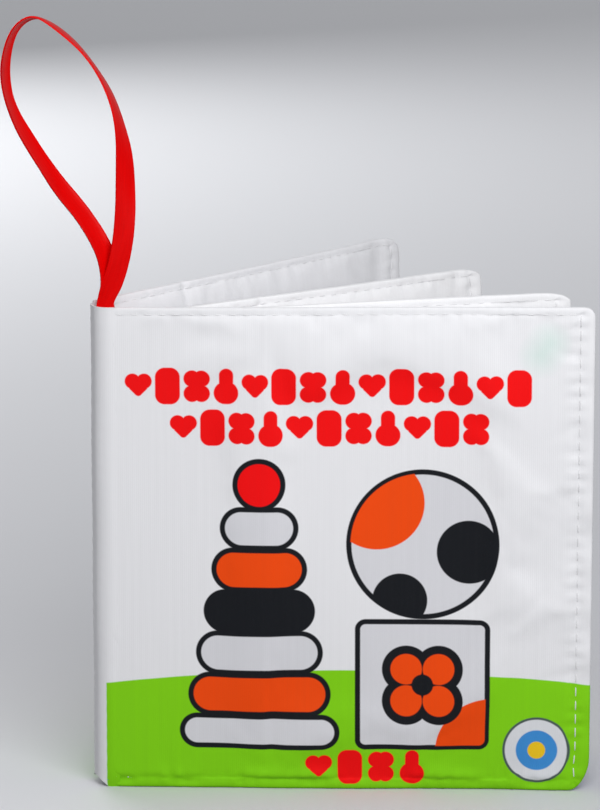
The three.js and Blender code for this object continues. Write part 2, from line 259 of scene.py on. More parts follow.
case_boxes = [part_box("rattle_case_front"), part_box("rattle_case_back")]
CASE_CENTRE = (case_boxes[0][0] + case_boxes[0][1] + case_boxes[1][0] + case_boxes[1][1]) / 4
case_plastic = moulded_plastic("moulded_case_plastic", "#f2efe6", 0.6 * MM)
for name, side in (("front", -1), ("back", 1)):
    node = "rattle_case_" + name
    cup = case_half("rattle_cup_" + name, *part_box(node), side)
    cup.data.materials.append(case_plastic)
    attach(cup, "back_cover")
    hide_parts(node)

bead_plastic = moulded_plastic("moulded_bead_plastic", "#e9e2cf", 0.4 * MM)
for count in range(1, BEADS + 1):
    node = f"rattle_bead_{count}"
    low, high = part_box(node)
    bead = add_piece(f"rattle_pellet_{count}", bpy.ops.mesh.primitive_uv_sphere_add, segments=24,
                     ring_count=17, radius=(high.z - low.z) / 2)
    choose(bead, "polygons", lambda face: abs(face.normal.z) < 0.05)
    bpy.ops.transform.resize(value=PART_LINE)
    settle(bead, Matrix.Translation((low + high) / 2) @ Matrix.Rotation(count, 4, (1, count, 2)))
    bpy.ops.object.shade_smooth()
    bead.data.materials.append(bead_plastic)
    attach(bead, "rattle_beads")
    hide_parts(node)

# The four padded leaves
# Each leaf is two panels of printed polyester, sewn right sides together, turned, filled with thin
# wadding and topstitched round its free edges. The outer sheet is the covers, the inner the pages.
PITCH = 2.3
OPENINGS = (0, 15, 23, 14.5)
SPINE_START = 1.5
SPINE_HALF = 0.75
SPINE_SHARE = 0.3
SPINE_TAPER = 3.0
SPINE_DROP = 0.9
SPINE_LINES = (0, 0.25, 0.8, 1.8, 3.2)
CROWN_HALF = 1.95
CROWN_RUN = 45
MARGIN_HALF = 1.15
MARGIN_RISE = 6.5
EDGE_SHARE = 0.45
ROLLS = {"fore": 1.3, "head": 1.6, "foot": 3.3}
FOOT_SHARE = 0.12
FOOT_LIFT = 1.9
FOOT_LIFT_RUNS = (3.2, 14)
STITCH = 4.0
STITCH_INSETS = {"fore": 4.2, "head": 2.0, "foot": 2.9}
# At the fore edge, the head and the foot
STITCH_DEPTHS = np.array((0.34, 0.11, 0.3))
STITCH_DRAWS = np.array((0.25, 0.6, 0.26))
HEM_DRAW = 2.2
SEWN_LINES = (0, 0.08, 0.2, 0.38, 0.6, 0.82, 1, 1.18, 1.5, 2.2)
SEAM_GROOVE = 0.3
SLANT = 0.5
CORNER_POWER = 1.6
GRID_STEP = 2.0
CASE_HALF = 4.25
CASE_FLAT = 22.5
CASE_SLOPE = 16
SWELL = 0.75
SWELL_RUN = 60
SWELL_FRAMES = 14
# A tuck is its place along the head, its width, its depth and its length
LEAVES = [
    {"name": "front_cover", "width": 139, "head_corner": (3.2, 3.2), "foot_corner": (5.4, 8.6),
     "seed": 3, "tucks": ()},
    {"name": "first_page", "width": 137.8, "head_corner": (9, 3), "foot_corner": (9, 3),
     "seed": 11, "tucks": ((112, 2, 0.4, 12),)},
    {"name": "second_page", "width": 137.8, "head_corner": (9, 3), "foot_corner": (9, 3),
     "seed": 23, "tucks": ((57, 1.1, 0.7, 22), (128, 1.6, 0.5, 16))},
    {"name": "back_cover", "width": 140.4, "head_corner": (8, 5.5), "foot_corner": (3.2, 3.2),
     "seed": 31, "tucks": ((40, 1.5, 0.8, 20), (129, 4, 0.8, 30))},
]
hinge = Matrix.Identity(4)
for leaf, opening in zip(LEAVES, OPENINGS):
    low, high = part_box(leaf["name"] + "_front_panel")
    leaf["foot"], leaf["head"] = low.z / MM, high.z / MM
    if leaf["name"] == "front_cover":
        leaf["matrix"] = Matrix.Translation((0, -PITCH / 2 * MM, 0))
        continue
    hinge = hinge @ Matrix.Rotation(math.radians(opening), 4, "Z")
    leaf["matrix"] = hinge @ Matrix.Translation((0, PITCH / 2 * MM, 0))
    hinge = hinge @ Matrix.Translation((0, PITCH * MM, 0))


def only(piece):
    """Makes a piece the one that the next operator works on."""
    bpy.ops.object.select_all(action="DESELECT")
    piece.select_set(True)
    bpy.context.view_layer.objects.active = piece


def smooth(value):
    """An even rise from 0 to 1 as the value goes from 0 to 1."""
    t = np.clip(value, 0, 1)
    return t * t * (3 - 2 * t)


def bulge(value):
    """A round rise from 0 to 1, like the quarter of a circle, as the value goes from 0 to 1."""
    return np.sqrt(1 - (1 - np.clip(value, 0, 1)) ** 2)


def coordinates(piece):
    """The places of a mesh's vertices, as rows of numbers."""
    return np.array([v.co for v in piece.data.vertices])


def seam_shares(leaf, along, up):
    """How far in a place lies from the fore edge, the head and the foot. 1 is at the stitches."""
    return np.stack([(leaf["width"] - along) / STITCH_INSETS["fore"],
                     (leaf["head"] - up) / STITCH_INSETS["head"],
                     (up - leaf["foot"]) / STITCH_INSETS["foot"]])


def leaf_half(leaf, along, up):
    """Half a leaf's thickness in millimetres: a rolled edge, a sewn channel, then the padding."""
    rise = np.clip((along - SPINE_START) / CROWN_RUN, 0, 1)
    body = SPINE_HALF + (CROWN_HALF - SPINE_HALF) * (rise + smooth(rise)) / 2
    if leaf["name"] == "back_cover":
        away = np.hypot(along - leaf["width"] / 2, up - leaf["head"] / 2)
        body = body + (CASE_HALF - body) * (1 - smooth((away - CASE_FLAT) / CASE_SLOPE))
    margin = np.minimum(body, MARGIN_HALF)
    shares = seam_shares(leaf, along, up)
    share, nearest = shares.min(axis=0), shares.argmin(axis=0)
    crown = np.clip((share - 1) / MARGIN_RISE, 0, 1)
    half = margin + (body - margin) * crown * (2 - crown)
    draw = STITCH_DRAWS[nearest] * np.where((nearest == 2) & (share < 1), HEM_DRAW, 1)
    half = half - STITCH_DEPTHS[nearest] * np.exp(-((share - 1) / draw) ** 2)
    edge = np.minimum((leaf["width"] - along) / ROLLS["fore"], (leaf["head"] - up) / ROLLS["head"])
    rolled = np.minimum(EDGE_SHARE + (1 - EDGE_SHARE) * bulge(edge),
                        FOOT_SHARE + (1 - FOOT_SHARE) * bulge((up - leaf["foot"]) / ROLLS["foot"]))
    spine = bulge((along - SPINE_START) / SPINE_TAPER)
    return half * rolled * (SPINE_SHARE + (1 - SPINE_SHARE) * spine)


def outline_place(leaf, along, up):
    """Where a place on the square pattern lies once corners are rounded and edges drawn."""
    upper = up > (leaf["foot"] + leaf["head"]) / 2
    reach_x = np.where(upper, leaf["head_corner"][0], leaf["foot_corner"][0])
    reach_z = np.where(upper, leaf["head_corner"][1], leaf["foot_corner"][1])
    way = np.where(upper, 1, -1)
    corner_x = leaf["width"] - reach_x
    corner_z = np.where(upper, leaf["head"], leaf["foot"]) - way * reach_z
    a, b = (along - corner_x) / reach_x, way * (up - corner_z) / reach_z
    inside = (a > 0) & (b > 0)
    power = np.where(upper, 2, CORNER_POWER)
    a_in, b_in = np.where(inside, a, 1), np.where(inside, b, 0)
    draw = np.maximum(a_in, b_in) / (a_in ** power + b_in ** power) ** (1 / power)
    draw = np.where(inside, draw, 1)
    height = (up - leaf["foot"]) / (leaf["head"] - leaf["foot"])
    x = corner_x + a * draw * reach_x - SLANT * (along / leaf["width"]) * (1 - height)
    z = corner_z + way * b * draw * reach_z - SPINE_DROP * (1 - along / leaf["width"]) * height
    low = smooth(1 - (up - leaf["foot"]) / FOOT_LIFT_RUNS[1])
    z = z + FOOT_LIFT * low * smooth((SPINE_START + FOOT_LIFT_RUNS[0] - along) / FOOT_LIFT_RUNS[0])
    return x, z


def pattern_lines(near, far):
    """All the grid lines from one edge to the other, with evenly spaced ones between."""
    count = round((far[-1] - near[-1]) / GRID_STEP)
    return np.array(near + list(np.linspace(near[-1], far[-1], count + 1)[1:-1]) + far[::-1])


def new_places(piece, name="flat_place"):
    """An attribute that takes the place on the flat cloth of each vertex."""
    return piece.data.attributes.new(name, "FLOAT_VECTOR", "POINT").data


def leaf_mesh(leaf):
    """The two panels of a leaf as one closed grid, with a seam groove round its edges."""
    fore, head, foot = ([STITCH_INSETS[edge] * share for share in SEWN_LINES]
                        for edge in ("fore", "head", "foot"))
    columns = pattern_lines([SPINE_START + d for d in SPINE_LINES],
                            [leaf["width"] - d for d in fore])
    rows = pattern_lines([leaf["foot"] + d for d in foot], [leaf["head"] - d for d in head])
    pad = add_piece(leaf["name"] + "_pad", bpy.ops.mesh.primitive_grid_add, size=1,
                    x_subdivisions=len(columns) - 1, y_subdivisions=len(rows) - 1)
    bpy.ops.object.mode_set(mode="EDIT")
    extrude(1)
    extrude(1)
    bpy.ops.object.mode_set(mode="OBJECT")
    places = coordinates(pad)
    column = np.rint((places[:, 0] + 0.5) * (len(columns) - 1)).astype(int)
    row = np.rint((places[:, 1] + 0.5) * (len(rows) - 1)).astype(int)
    layer = np.rint(places[:, 2]).astype(int)
    along, up = columns[column], rows[row]
    x, z = outline_place(leaf, along, up)
    y = (layer - 1) * leaf_half(leaf, along, up)
    groove = np.where(layer == 1, SEAM_GROOVE, 0)
    x = x - groove * np.sign(x - leaf["width"] / 2) * np.isin(column, (0, len(columns) - 1))
    z = z - groove * np.sign(z - leaf["head"] / 2) * np.isin(row, (0, len(rows) - 1))
    pad.data.vertices.foreach_set("co", (np.stack([x, y, z], 1) * MM).ravel())
    for face in pad.data.polygons:
        face.material_index = int(layer[list(face.vertices)].mean() > 1)
    new_places(pad).foreach_set("vector", (np.stack([x, 0 * y, z], 1) * MM).ravel())
    sewn = (seam_shares(leaf, along, up).min(axis=0) < 1.01) | (along < SPINE_START + 1)
    held = pad.vertex_groups.new(name="sewn")
    held.add([int(i) for i in np.nonzero(sewn)[0]], 1, "REPLACE")
    face_outwards()
    return pad


def swell(pads):
    """Lets the wadding swell the panels between their seams, as cloth under a little pressure."""
    rest = [coordinates(pad) for pad in pads]
    for pad in pads:
        cloth = pad.modifiers.new("swelling", "CLOTH")
        cloth.point_cache.frame_start, cloth.point_cache.frame_end = 1, SWELL_FRAMES
        how = cloth.settings
        how.quality = 6
        how.mass = 0.3
        how.tension_stiffness = how.compression_stiffness = 12
        how.shear_stiffness = 6
        how.bending_stiffness = 0.05
        how.air_damping = 3
        how.use_pressure = True
        how.uniform_pressure_force = 3
        how.shrink_min = -0.012
        how.vertex_group_mass = "sewn"
        how.effector_weights.gravity = 0
    for moment in range(1, SWELL_FRAMES + 1):
        bpy.context.scene.frame_set(moment)
    for pad, start in zip(pads, rest):
        only(pad)
        bpy.ops.object.modifier_apply(modifier="swelling")
        moved = coordinates(pad) - start
        length = np.linalg.norm(moved, axis=1, keepdims=True) + 1e-12
        most = SWELL * MM * (0.1 + 0.9 * smooth(start[:, :1] / MM / SWELL_RUN))
        moved *= most * np.tanh(length / most) / length
        pad.data.vertices.foreach_set("co", (start + moved).ravel())
    bpy.context.scene.frame_set(1)


pads = [leaf_mesh(leaf) for leaf in LEAVES]
swell(pads)

# Puckers and creases
# Topstitching takes up more of the thin cloth than of the wadding, so small ridges stand between
# the stitches, short creases run in from them, and the margin outside them ripples a little.
RIDGE, RIDGE_RUN = 0.17, 2.4
RIDGE_VARIES = 0.8
HEAD_CALM = 0.35
THREAD_HALF = 0.55
HOLE_DEPTH, HOLE_RUN = 0.22, 0.7
CREASES, CREASE_DEPTH = 64, 0.3
WARP, WARP_WAVE = 0.55, 75
RIPPLE, RIPPLE_WAVE = 0.3, 15
FOOT_DIMPLE = 0.35


def hump(distance, width):
    """A soft hump, 1 at its middle."""
    return np.exp(-(distance / width) ** 2)


def drift(x, z, length, seed):
    """A smooth random field between about -1 and 1, with waves of about the given length."""
    source = np.random.RandomState(seed)
    total = 0
    for _ in range(7):
        turn, start = source.uniform(0, 2 * math.pi, 2)
        wave = 2 * math.pi / (length * source.uniform(0.7, 1.5))
        total = total + np.sin(wave * (x * math.cos(turn) + z * math.sin(turn)) + start)
    return total / 3.5


def seam_run(leaf):
    """The corners of a leaf's topstitching, and its pitch along the foot, fore edge and head."""
    fore = leaf["width"] - STITCH_INSETS["fore"]
    low = np.array(outline_place(leaf, fore, leaf["foot"] + STITCH_INSETS["foot"]))
    high = np.array(outline_place(leaf, fore, leaf["head"] - STITCH_INSETS["head"]))
    runs = low[0] - STITCH, high[1] - low[1], high[0] - STITCH
    return low, high, [run / round(run / STITCH) for run in runs]


def pucker(leaf, pad):
    """Draws the stitch holes in, raises the ridges between them and lays the creases."""
    x, y, z = (coordinates(pad) / MM).T
    side, seed = np.sign(y), leaf["seed"]
    fore = leaf["width"] - SLANT - STITCH_INSETS["fore"] - x
    head = leaf["head"] - STITCH_INSETS["head"] - z
    foot = z - leaf["foot"] - STITCH_INSETS["foot"]
    inward = np.minimum(np.minimum(fore, head), foot)
    at_fore = fore <= np.minimum(head, foot)
    low, high, (foot_pitch, fore_pitch, head_pitch) = seam_run(leaf)
    count = np.where(foot < head, (x - STITCH) / foot_pitch, (x - STITCH) / head_pitch)
    step = np.cos(2 * math.pi * np.where(at_fore, (z - low[1]) / fore_pitch, count))
    near = hump(inward, RIDGE_RUN) * smooth((x - 4) / 12)
    strength = 1 + RIDGE_VARIES * drift(np.where(at_fore, z, x), side * 40, 17, seed)
    under_thread = 1 - 0.8 * hump(inward, THREAD_HALF)
    calm = np.where((head < foot) & (head < fore), HEAD_CALM, 1)
    lift = -RIDGE * calm * near * strength * step * under_thread
    lift -= (HOLE_DEPTH * calm * hump(inward, HOLE_RUN) * smooth((x - 2) / 3)
             * np.maximum(0, step) ** 3)
    source = np.random.RandomState(seed)
    for _ in range(CREASES):
        edge = source.choice(["fore", "head", "foot"])
        where, lean = source.uniform(8, 130), source.uniform(-0.5, 0.5)
        width, length = source.uniform(0.8, 1.9), source.uniform(4, 15)
        depth, face = source.uniform(0.3, 1), source.choice([-1, 1])
        into = {"fore": fore, "head": head, "foot": foot}[edge]
        across = (z if edge == "fore" else x) - where - lean * into
        fade = smooth((into + 1) / 2) * smooth(1 - into / length)
        lift -= CREASE_DEPTH * depth * fade * hump(across, width) * (side == face)
    warp = WARP * drift(x, z, WARP_WAVE, seed + 1) * smooth(x / 60)
    lift -= FOOT_DIMPLE * hump(foot + 0.9, 1.1) * smooth(drift(x, 0, 16, seed + 3) * 1.5)
    ripple = (RIPPLE * drift(x, z, RIPPLE_WAVE, seed + 2) * smooth(1 - (inward + 4) / 6)
              * smooth((x - 10) / 20))
    for where, width, depth, length in leaf["tucks"]:
        warp = warp + depth * (hump(x - where, width) * smooth(1 - (leaf["head"] - z) / length))
    y = y + side * lift + warp + ripple
    pad.data.vertices.foreach_set("co", (np.stack([x, y, z], 1) * MM).ravel())


for leaf, pad in zip(LEAVES, pads):
    only(pad)
    finer = pad.modifiers.new("finer", "SUBSURF")
    finer.levels = finer.render_levels = 1
    bpy.ops.object.modifier_apply(modifier="finer")
    pucker(leaf, pad)
    settle(pad, leaf["matrix"])
    bpy.ops.object.shade_smooth()
    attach(pad, leaf["name"])
    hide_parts(*[leaf["name"] + end for end in ("_front_panel", "_back_panel", "_wadding")])

# Printed cloth
# The panels are white polyester with a fine upright rib, dyed through by heat transfer, so that a
# picture has crisp edges, sinks into the weave and keeps the cloth's dull sheen.
# The pages' white is brighter than the covers': painted light for pages in shade between the covers
WHITE, PAGE_WHITE_WITH_PAINTED_LIGHT, GREY_WHITE = "#eeeef1", "#f7f7f9", "#dddde2"
GREEN, RED, ORANGE = "#84d60f", "#fa0004", "#f84c02"
NAVY, BLUE, YELLOW = "#0e1117", "#3f8fd6", "#f4c81f"
RIB_PITCH = 0.56
YARN = 0.35
STREAK = (1.2, 50)
LINE = 1.5
OVERPRINT = 0.3
COVER_ARCH, PAGE_ARCH = 545, 420
BADGE = (123.4, 12)


def distance(tree, place, centre, radius, reach=(0, 0), turn=0, lobes=False):
    """How far a place lies outside a rounded bar, or outside the round lobes at its corners."""
    moved = add_node(tree, "Mapping", ("Vector", place), ("Rotation", (0, math.radians(turn), 0)),
                     ("Location", Vector((centre[0], 0, centre[1])) * MM), vector_type="TEXTURE")
    mirrored = add_node(tree, "VectorMath", (0, moved.outputs[0]), operation="ABSOLUTE")
    past = add_node(tree, "VectorMath", (0, mirrored.outputs[0]),
                    (1, Vector((reach[0], 0, reach[1])) * MM), operation="SUBTRACT")
    if not lobes:
        past = add_node(tree, "VectorMath", (0, past.outputs[0]), (1, (0, 0, 0)),
                        operation="MAXIMUM")
    length = add_node(tree, "VectorMath", (0, past.outputs[0]), operation="LENGTH")
    return add_node(tree, "Math", (0, length.outputs["Value"]), (1, radius * MM),
                    operation="SUBTRACT").outputs[0]


def joined(tree, *distances):
    """The distance to the nearest of several shapes."""
    nearest = distances[0]
    for other in distances[1:]:
        nearest = add_node(tree, "Math", (0, nearest), (1, other), operation="MINIMUM").outputs[0]
    return nearest


def within(tree, shape, limit, margin=0):
    """A shape cut off where another one ends, or that far inside it."""
    inner = add_node(tree, "Math", (0, limit), (1, margin * MM), operation="ADD").outputs[0]
    return add_node(tree, "Math", (0, shape), (1, inner), operation="MAXIMUM").outputs[0]


def ink(tree, under, shape, colour, inside=0, soft=0.16):
    """Prints a colour over another, in a shape or that far inside its edge."""
    cover = add_node(tree, "MapRange", ("Value", shape), ("From Min", (soft - inside) * MM),
                     ("From Max", (-soft - inside) * MM))
    return add_node(tree, "Mix", (0, cover.outputs[0]), (6, under), (7, linear(colour)),
                    data_type="RGBA").outputs[2]


def outlined(tree, under, shape, colour):
    """A shape in a colour, with a thick dark line round it."""
    return ink(tree, ink(tree, under, shape, NAVY), shape, colour, inside=LINE)


def ribs(tree, place, axis, pitch):
    """Even waves along an axis of the cloth, from -1 to 1, with their pitch in millimetres."""
    parts = add_node(tree, "SeparateXYZ", (0, place))
    turns = add_node(tree, "Math", (0, parts.outputs[axis]), (1, 2 * math.pi / (pitch * MM)),
                     operation="MULTIPLY")
    return add_node(tree, "Math", (0, turns.outputs[0]), operation="SINE").outputs[0]


def streaks(tree, place, width, length):
    """Streaks that run up the cloth, with their width and length in millimetres."""
    drawn = add_node(tree, "Mapping", ("Vector", place),
                     ("Scale", (1 / (width * MM), 1, 1 / (length * MM))))
    return add_node(tree, "TexNoise", ("Vector", drawn.outputs[0]), ("Scale", 1.0),
                    ("Detail", 3.0)).outputs["Fac"]


def finish_cloth(tree, shader, place, colour):
    """The cloth under the print: upright ribs, streaks along the yarn, and a dull sheen."""
    streak = streaks(tree, place, *STREAK)
    tone = add_node(tree, "MapRange", ("Value", streak), ("From Min", 0.3), ("From Max", 0.7),
                    ("To Min", 0.972), ("To Max", 1.0))
    toned_colour = add_node(tree, "Mix", (0, 1.0), (6, colour), (7, tone.outputs[0]), data_type="RGBA",
                    blend_type="MULTIPLY")
    rib = ribs(tree, place, "X", RIB_PITCH)
    # Painted shade: the colour darkens a little in the valleys between the ribs
    shade = add_node(tree, "MapRange", ("Value", rib), ("From Min", -1.0), ("To Min", 0.985))
    colour_with_painted_rib_shade = add_node(tree, "Mix", (0, 1.0), (6, toned_colour.outputs[2]), (7, shade.outputs[0]),
                     data_type="RGBA", blend_type="MULTIPLY")
    yarn = add_node(tree, "TexNoise", ("Vector", place), ("Scale", 1 / (YARN * MM)),
                    ("Detail", 2.0))
    relief = add_node(tree, "Math", (0, rib), (1, yarn.outputs["Fac"]), operation="ADD")
    bump = add_node(tree, "Bump", ("Strength", 0.22), ("Distance", 0.025 * MM),
                    ("Height", relief.outputs[0]))
    rough = add_node(tree, "MapRange", ("Value", streak), ("To Min", 0.62), ("To Max", 0.82))
    feed(tree, shader, ("Base Color", colour_with_painted_rib_shade.outputs[2]), ("Normal", bump.outputs["Normal"]),
         ("Roughness", rough.outputs[0]), ("Sheen Weight", 0.04), ("Sheen Roughness", 0.5),
         ("Specular IOR Level", 0.18))


def new_cloth(name):
    """A printed panel's material, with its tree, its shader and the place on its flat cloth."""
    made, tree, shader = new_material(name)
    place = add_node(tree, "Attribute", attribute_name="flat_place").outputs["Vector"]
    return made, tree, shader, place


def puff_row(tree, place, start, count, up, pitch):
    """A row of plump little shapes, four kinds in turn: heart, bean, clover and pear."""
    cells = []
    for kind in range(4):
        centre = Vector((start + (kind + 0.5) * pitch, 0, up)) * MM
        moved = add_node(tree, "Mapping", ("Vector", place), ("Location", centre),
                         vector_type="TEXTURE")
        wrapped = add_node(tree, "VectorMath", (0, moved.outputs[0]), (1, (2 * pitch * MM, 1, 1)),
                           (2, (-2 * pitch * MM, -1, -1)), operation="WRAP")
        cells.append(wrapped.outputs[0])
    heart, bean, clover, pear = cells
    shapes = joined(tree, *[distance(tree, *shape) for shape in (
        (heart, (0, 1.35), 2.2, (1.62, 0), 0, True), (heart, (0, -0.25), 1.1, (1.1, 1.1), 45),
        (bean, (0, 0), 2.7, (0.8, 2.5)),
        (clover, (0, 0), 2.4, (1.3, 2.1), 0, True), (clover, (0, 0), 1.2, (0.2, 0.6)),
        (pear, (0, -1.9), 3.2, (0.3, 0)), (pear, (0, 1.8), 2.0, (0, 1.3)))])
    half = count * pitch / 2
    return within(tree, shapes, distance(tree, place, (start + half, up), 3, (half - 3, 3.5)))


def toy_stack(tree, place, colour, centre, foot):
    """Plump rings piled on a stand, widest at the bottom, with a ball on top."""
    tiers = [(17.5, 5.2, GREY_WHITE), (13.8, 6.4, ORANGE), (11.6, 6.4, GREY_WHITE),
             (9.4, 6.4, NAVY), (7.2, 6.4, ORANGE), (5, 6.2, GREY_WHITE)]
    up = foot
    for reach, radius, fill in tiers:
        up += radius
        ring = distance(tree, place, (centre, up), radius, (reach, 0))
        colour = outlined(tree, colour, ring, fill)
        up += radius - LINE / 2
    return outlined(tree, colour, distance(tree, place, (centre, up + 7), 7.6), RED)


def toy_block(tree, place, colour, centre, up, half):
    """A block with rounded corners and a clover on its face."""
    face = distance(tree, place, (centre, up), 3, (half - 3, half - 3))
    colour = outlined(tree, colour, face, GREY_WHITE)
    spot = distance(tree, place, (centre, up), half * 0.36, (half * 0.24, half * 0.24), lobes=True)
    corner = distance(tree, place, (centre + half, up - half), half * 0.8)
    colour = ink(tree, colour, within(tree, corner, face, LINE - OVERPRINT), ORANGE)
    colour = ink(tree, ink(tree, colour, spot, NAVY), spot, ORANGE, inside=2.4)
    return ink(tree, colour, distance(tree, place, (centre, up), half * 0.16), NAVY)


def toy_ball(tree, place, colour, centre, up, radius):
    """A ball with patches."""
    whole = distance(tree, place, (centre, up), radius)
    colour = outlined(tree, colour, whole, GREY_WHITE)
    patches = ((-0.6, 0.55, 0.62, ORANGE), (0.6, -0.1, 0.42, NAVY), (-0.3, -0.75, 0.36, NAVY))
    for dx, dz, size, fill in patches:
        patch = distance(tree, place, (centre + dx * radius, up + dz * radius), size * radius)
        colour = ink(tree, colour, within(tree, patch, whole, LINE - OVERPRINT), fill)
    return colour


front_print, tree, shader, place = new_cloth("printed_cover_cloth")
show_through = distance(tree, place, (125, 127.5), 3, (0.5, 2.5), turn=35)
colour = ink(tree, linear(WHITE), show_through, "#dbeae6", soft=3.4)
ground = distance(tree, place, (72, 35.1 - COVER_ARCH), COVER_ARCH)
colour = ink(tree, colour, ground, GREEN)
colour = ink(tree, colour, distance(tree, place, (-3, 70), 1.5, (3, 90)), WHITE)
colour = toy_stack(tree, place, colour, 45, 12)
colour = toy_block(tree, place, colour, 91, 31, 19)
colour = toy_ball(tree, place, colour, 91, 71.5, 21.5)
badge = distance(tree, place, BADGE, 9.6)
colour = ink(tree, ink(tree, colour, badge, "#4d5d58"), badge, "#dfe1e6", inside=0.7)
colour = ink(tree, colour, distance(tree, place, BADGE, 5.8), BLUE)
colour = ink(tree, colour, distance(tree, place, BADGE, 2.5), YELLOW)
for start, count, up, pitch in ((7, 14, 116.4, 8.2), (19.6, 11, 104.6, 8.2), (57.4, 4, 6.8, 8.8)):
    colour = ink(tree, colour, puff_row(tree, place, start, count, up, pitch), RED)
finish_cloth(tree, shader, place, colour)


def page_print(name, ground_colour, arch, parts, paper=WHITE):
    """A page: bare at the head, coloured ground at the foot, and a picture of a few big shapes."""
    made, tree, shader, place = new_cloth(name)
    ground = distance(tree, place, (70, arch - PAGE_ARCH), PAGE_ARCH)
    colour = ink(tree, linear(paper), ground, ground_colour)
    for fill, *shape in parts:
        colour = outlined(tree, colour, distance(tree, place, *shape), fill)
    finish_cloth(tree, shader, place, colour)
    return made


back_print = page_print("printed_back_cloth", GREEN, 33, [
    (ORANGE, (70.2, 70.1), 24), (GREY_WHITE, (70.2, 70.1), 8, (7, 7), 0, True)])
ball_page = page_print("printed_ball_page", BLUE, 30, [
    (YELLOW, (72, 52), 31), (RED, (72, 52), 9, (11, 11), 45, True)])
# The four faces of the two pages take the brighter page white, which is painted light
boat_page = page_print("printed_boat_page", BLUE, 36, [
    (ORANGE, (70, 74), 1.6, (1, 26)), (RED, (84, 76), 5, (8, 13)),
    (YELLOW, (57, 70), 5, (5, 8)), (ORANGE, (70, 42), 8, (30, 4))], paper=PAGE_WHITE_WITH_PAINTED_LIGHT)
house_page = page_print("printed_house_page", GREEN, 26, [
    (RED, (70, 68), 5, (18, 18), 45), (YELLOW, (70, 42), 3, (24, 20)),
    (ORANGE, (70, 34), 3, (6, 13))], paper=PAGE_WHITE_WITH_PAINTED_LIGHT)
flower_page = page_print("printed_flower_page", "#8fd14a", 24, [
    ("#3f9a2a", (70, 40), 2, (0.6, 26)), ("#f07fb0", (70, 80), 14, (12, 12), 0, True),
    (YELLOW, (70, 80), 10)], paper=PAGE_WHITE_WITH_PAINTED_LIGHT)
fruit_page = page_print("printed_fruit_page", "#f3d24a", 28, [
    ("#4aa52c", (78, 88), 4, (7, 0), -30), (RED, (70, 54), 24, (11, 3), 0, True)], paper=PAGE_WHITE_WITH_PAINTED_LIGHT)
cloud_page = page_print("printed_cloud_page", "#6fc3ee", 32, [
    ("#ffffff", (70, 84), 14, (17, 2), 0, True), ("#ffffff", (70, 84), 17, (0, 4)),
    (YELLOW, (70, 36), 9, (22, 0))])
# The panel towards the reader and the one behind it, in the order of the leaves
prints = ((front_print, ball_page), (boat_page, house_page), (flower_page, fruit_page),
          (cloud_page, back_print))
for pad, panels in zip(pads, prints):
    for panel in panels:
        pad.data.materials.append(panel)

# Topstitching
# White polyester thread runs round the three free edges of each leaf, 4 mm to the stitch. The
# needle thread shows on the reader's side and the bobbin thread behind, each diving into its holes.
THREAD = 0.36
THREAD_SIDES = 8
PLY_TWIST = 0.5
STITCH_GAP = 0.5
STITCH_SINK = 0.5
STITCH_CUTS = 6
STITCH_TAPER = 0.35
PROUD = {"foot": -0.38, "fore": 0.04, "head": -0.06}
CLEAR_OF_CLOTH = 15
ALONG_X, ALONG_Z = Vector((1, 0, 0)), Vector((0, 0, 1))

spun_thread, tree, shader = new_material("spun_polyester_thread")
# Two plies laid round each other, glossier than the cloth, with painted shade between the plies
place = add_node(tree, "Attribute", attribute_name="thread_place").outputs["Vector"]
parts = add_node(tree, "SeparateXYZ", (0, place))
twist = add_node(tree, "Math", (0, parts.outputs["X"]), (1, 2 * math.pi / (PLY_TWIST * MM)),
                 operation="MULTIPLY")
lean = add_node(tree, "Math", (0, parts.outputs["Z"]), (1, 2.5 * math.pi / (THREAD * MM)),
                operation="MULTIPLY")
phase = add_node(tree, "Math", (0, twist.outputs[0]), (1, lean.outputs[0]), operation="ADD")
ply = add_node(tree, "Math", (0, phase.outputs[0]), operation="SINE")
bump = add_node(tree, "Bump", ("Strength", 0.6), ("Distance", 0.06 * MM),
                ("Height", ply.outputs[0]))
# Painted shade: the thread's colour darkens in the grooves between the plies
tone = add_node(tree, "MapRange", ("Value", ply.outputs[0]), ("From Min", -1.0), ("To Min", 0.86),
                ("To Max", 1.0))
toned_colour = add_node(tree, "Mix", (0, 1.0), (6, linear("#f2f2f4")), (7, tone.outputs[0]),
                data_type="RGBA", blend_type="MULTIPLY")
feed(tree, shader, ("Base Color", toned_colour.outputs[2]), ("Normal", bump.outputs["Normal"]),
     ("Roughness", 0.45), ("Sheen Weight", 0.1))


def cut_across(axis, places):
    """Cuts the piece at hand across an axis, at each of the places along it."""
    bpy.ops.object.mode_set(mode="EDIT")
    for place in places:
        bpy.ops.mesh.select_all(action="SELECT")
        bpy.ops.mesh.bisect(plane_co=axis * place, plane_no=axis)
    bpy.ops.object.mode_set(mode="OBJECT")


def one_stitch(length, width, sink, material):
    """A short thread along X, bowed so that both ends dive in along -Y."""
    stitch = settle(add_piece("stitch", bpy.ops.mesh.primitive_cylinder_add, vertices=THREAD_SIDES,
                              radius=width / 2 * MM, depth=length * MM, end_fill_type="TRIFAN",
                              rotation=(0, math.pi / 2, 0)))
    cut_across(ALONG_X, [(cut / STITCH_CUTS - 0.5) * length * MM for cut in range(1, STITCH_CUTS)])
    for vertex, spot in zip(stitch.data.vertices, new_places(stitch, "thread_place")):
        spot.vector = vertex.co
        share = abs(vertex.co.x) / (length / 2 * MM)
        thin = 1 - STITCH_TAPER * share ** 3
        vertex.co.y = vertex.co.y * thin - sink * MM * share ** 3
        vertex.co.z *= thin
    bpy.ops.object.shade_smooth()
    stitch.data.materials.append(material)
    return stitch


def sew(name, pattern, places):
    """Copies of one stitch at their places, joined as a seam's thread."""
    copies = []
    for matrix in places:
        copy = pattern.copy()
        copy.data = pattern.data.copy()
        copy.data.transform(matrix)
        bpy.context.collection.objects.link(copy)
        copies.append(copy)
    only(copies[0])
    for copy in copies:
        copy.select_set(True)
    bpy.ops.object.join()
    copies[0].name = name
    return copies[0]


